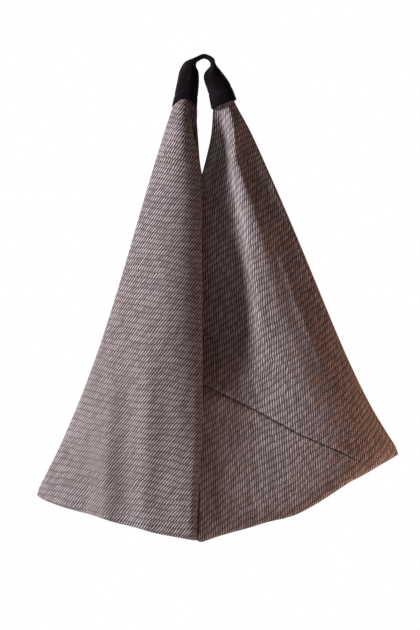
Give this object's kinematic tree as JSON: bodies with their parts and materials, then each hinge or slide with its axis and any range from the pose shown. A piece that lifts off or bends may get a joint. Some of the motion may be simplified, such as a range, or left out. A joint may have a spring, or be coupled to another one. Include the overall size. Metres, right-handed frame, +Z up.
{
  "type": "knot bag",
  "caption": "Soft bag of folded twill cloth: horns joined by a sleeve that hangs on a peg, overlapping walls, a slit mouth at front and back, and a folded floor.",
  "frame": {"origin": "the seat under the crown of the sleeve, where the bag hangs on its peg", "axes": "+Z up, +X to the viewer's right, -Y towards the viewer"},
  "size_m": [0.414, 0.2178, 0.5569],
  "materials": {
    "cloth": "coarse mauve-grey twill",
    "shaded_cloth": "coarse brown-grey twill, wrong side of the same cloth",
    "sleeve_cloth": "matte black cloth",
    "thread": "dark sewing thread"
  },
  "bodies": {
    "handle": {"sleeve_crown": "sleeve_cloth"},
    "left_side": {"sleeve_left_leg": "sleeve_cloth", "sleeve_right_leg": "sleeve_cloth", "left_cuff": "sleeve_cloth", "right_cuff": "sleeve_cloth", "left_horn_tip": "cloth", "right_horn_tip": "cloth", "left_front_panel": "cloth", "left_back_panel": "shaded_cloth", "left_back_corner": "shaded_cloth", "back_seam_thread": "thread", "left_base_panel": "cloth", "front_lip_hem": "cloth", "front_pleat": "cloth"},
    "right_side": {"right_front_panel": "shaded_cloth", "right_front_corner": "shaded_cloth", "front_seam_thread": "thread", "right_back_panel": "cloth", "right_base_panel": "cloth", "back_lip_hem": "cloth", "back_pleat": "cloth"}
  },
  "joints": [
    {"name": "bag_swing", "type": "hinge", "parent": "handle", "child": "left_side", "pos_m": [0, 0, -0.02443], "axis": [1, 0, 0], "range_deg": [-60, 60]},
    {"name": "mouth_spread", "type": "hinge", "parent": "left_side", "child": "right_side", "pos_m": [0.0368, 0, -0.054], "axis": [0, -1, 0], "range_deg": [0, 6]}
  ]
}
